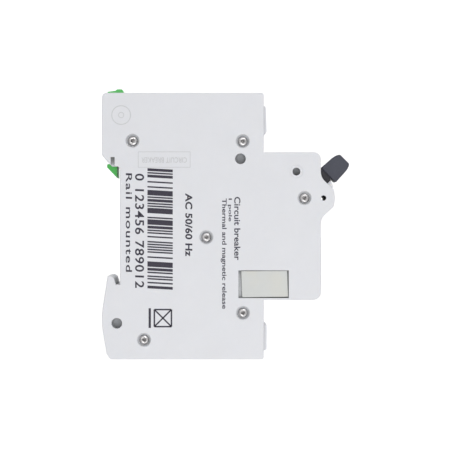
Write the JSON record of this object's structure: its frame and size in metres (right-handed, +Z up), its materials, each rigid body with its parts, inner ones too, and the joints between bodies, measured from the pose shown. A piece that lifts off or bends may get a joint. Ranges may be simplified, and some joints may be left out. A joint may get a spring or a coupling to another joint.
{
  "type": "miniature circuit breaker",
  "caption": "Single-pole miniature circuit breaker one module wide, with a toggle, clamp terminals, magnetic and thermal trips and a sprung clip for a 35 mm rail.",
  "frame": {"origin": "on the rail seat face, at the rail's centre line and mid-width", "axes": "+Z up as installed with the sliding clip below, +Y back into the rail, -Y the front with the toggle, +X the right side"},
  "size_m": [0.018, 0.0757, 0.0826],
  "materials": {
    "case_plastic": "fine moulded satin, cool light grey",
    "rivet_steel": "plated, bright",
    "toggle_plastic": "fine-grained dark slate",
    "insert_plastic": "smooth white",
    "spring_steel": "drawn wire",
    "plain_steel": "pressed, dull",
    "dark_plastic": "moulded, dark",
    "copper": "pressed copper",
    "silver": "dull silver alloy",
    "bobbin_plastic": "natural thermoplastic",
    "coil_copper": "enamelled wire",
    "bimetal": "rolled strip",
    "zinc_steel": "zinc plated",
    "braid_copper": "woven fine strands",
    "fibre": "vulcanised fibre",
    "clip_plastic": "bright green, satin",
    "pad_plastic": "smooth warm light grey",
    "label_film": "printed film"
  },
  "bodies": {
    "case": {"case_right": "case_plastic", "case_left": "case_plastic", "case_rivets": "rivet_steel", "toggle_spring": "spring_steel", "carrier_pin": "plain_steel", "fixed_contact": "silver", "fixed_contact_bar": "copper", "contact_spring": "spring_steel", "trip_spring": "spring_steel", "coil_bobbin": "bobbin_plastic", "coil": "coil_copper", "magnet_yoke": "plain_steel", "plunger_spring": "spring_steel", "bimetal_strip": "bimetal", "bimetal_bracket": "plain_steel", "calibration_screw": "zinc_steel", "flexible_braid": "braid_copper", "arc_plates": "plain_steel", "arc_chute_sides": "fibre", "arc_runner": "plain_steel", "line_bar": "copper", "load_bar": "copper", "clip_spring": "spring_steel", "window_pad": "pad_plastic", "front_label": "label_film"},
    "toggle": {"toggle": "toggle_plastic", "toggle_insert": "insert_plastic"},
    "link": {"mechanism_link": "spring_steel"},
    "contact_arm": {"contact_carrier": "dark_plastic", "contact_arm": "copper", "moving_contact": "silver"},
    "trip_lever": {"trip_lever": "dark_plastic"},
    "plunger": {"plunger": "plain_steel", "strike_pin": "plain_steel"},
    "line_screw": {"line_screw": "zinc_steel"},
    "load_screw": {"load_screw": "zinc_steel"},
    "line_cage": {"line_cage": "zinc_steel"},
    "load_cage": {"load_cage": "zinc_steel"},
    "rail_clip": {"rail_clip": "clip_plastic"}
  },
  "joints": [
    {"name": "toggle_hinge", "type": "hinge", "parent": "case", "child": "toggle", "pos_m": [0, -0.0562, -0.00855], "axis": [-1, 0, 0], "range_deg": [0, 90]},
    {"name": "link_hinge", "type": "hinge", "parent": "toggle", "child": "link", "pos_m": [0, -0.0567, -0.0062], "axis": [1, 0, 0], "range_deg": [0, 95.4]},
    {"name": "arm_hinge", "type": "hinge", "parent": "case", "child": "contact_arm", "pos_m": [0, -0.0405, 0.003], "axis": [1, 0, 0], "range_deg": [0, 14.01], "deforming": ["contact_spring"]},
    {"name": "plunger_slide", "type": "slide", "parent": "case", "child": "plunger", "axis": [0, 0, -1], "range_m": [0, 0.002], "stiffness_N_per_m": 60, "springref_m": -0.003, "deforming": ["plunger_spring"]},
    {"name": "trip_hinge", "type": "hinge", "parent": "case", "child": "trip_lever", "pos_m": [0, -0.0263, 0.0034], "axis": [-1, 0, 0], "range_deg": [0, 12.51]},
    {"name": "line_screw_turn", "type": "hinge", "parent": "case", "child": "line_screw", "pos_m": [0, -0.042, 0.0334], "axis": [0, 1, 0], "range_deg": [0, 2025]},
    {"name": "line_cage_slide", "type": "slide", "parent": "case", "child": "line_cage", "axis": [0, -1, 0], "range_m": [0, 0.0045]},
    {"name": "load_screw_turn", "type": "hinge", "parent": "case", "child": "load_screw", "pos_m": [0, -0.042, -0.0334], "axis": [0, 1, 0], "range_deg": [0, 2025]},
    {"name": "load_cage_slide", "type": "slide", "parent": "case", "child": "load_cage", "axis": [0, -1, 0], "range_m": [0, 0.0045]},
    {"name": "clip_slide", "type": "slide", "parent": "case", "child": "rail_clip", "axis": [0, 0, -1], "range_m": [0, 0.004], "stiffness_N_per_m": 400, "springref_m": -0.002, "deforming": ["clip_spring"]}
  ],
  "couplings": [
    {"joint": "link_hinge", "follows": "toggle_hinge", "ratio": 1.0589},
    {"joint": "arm_hinge", "follows": "toggle_hinge", "ratio": 0.15556},
    {"joint": "trip_hinge", "follows": "plunger_slide", "rad_per_m": 109.08},
    {"joint": "line_screw_turn", "follows": "line_cage_slide", "rad_per_m": 7854},
    {"joint": "load_screw_turn", "follows": "load_cage_slide", "rad_per_m": 7854}
  ]
}
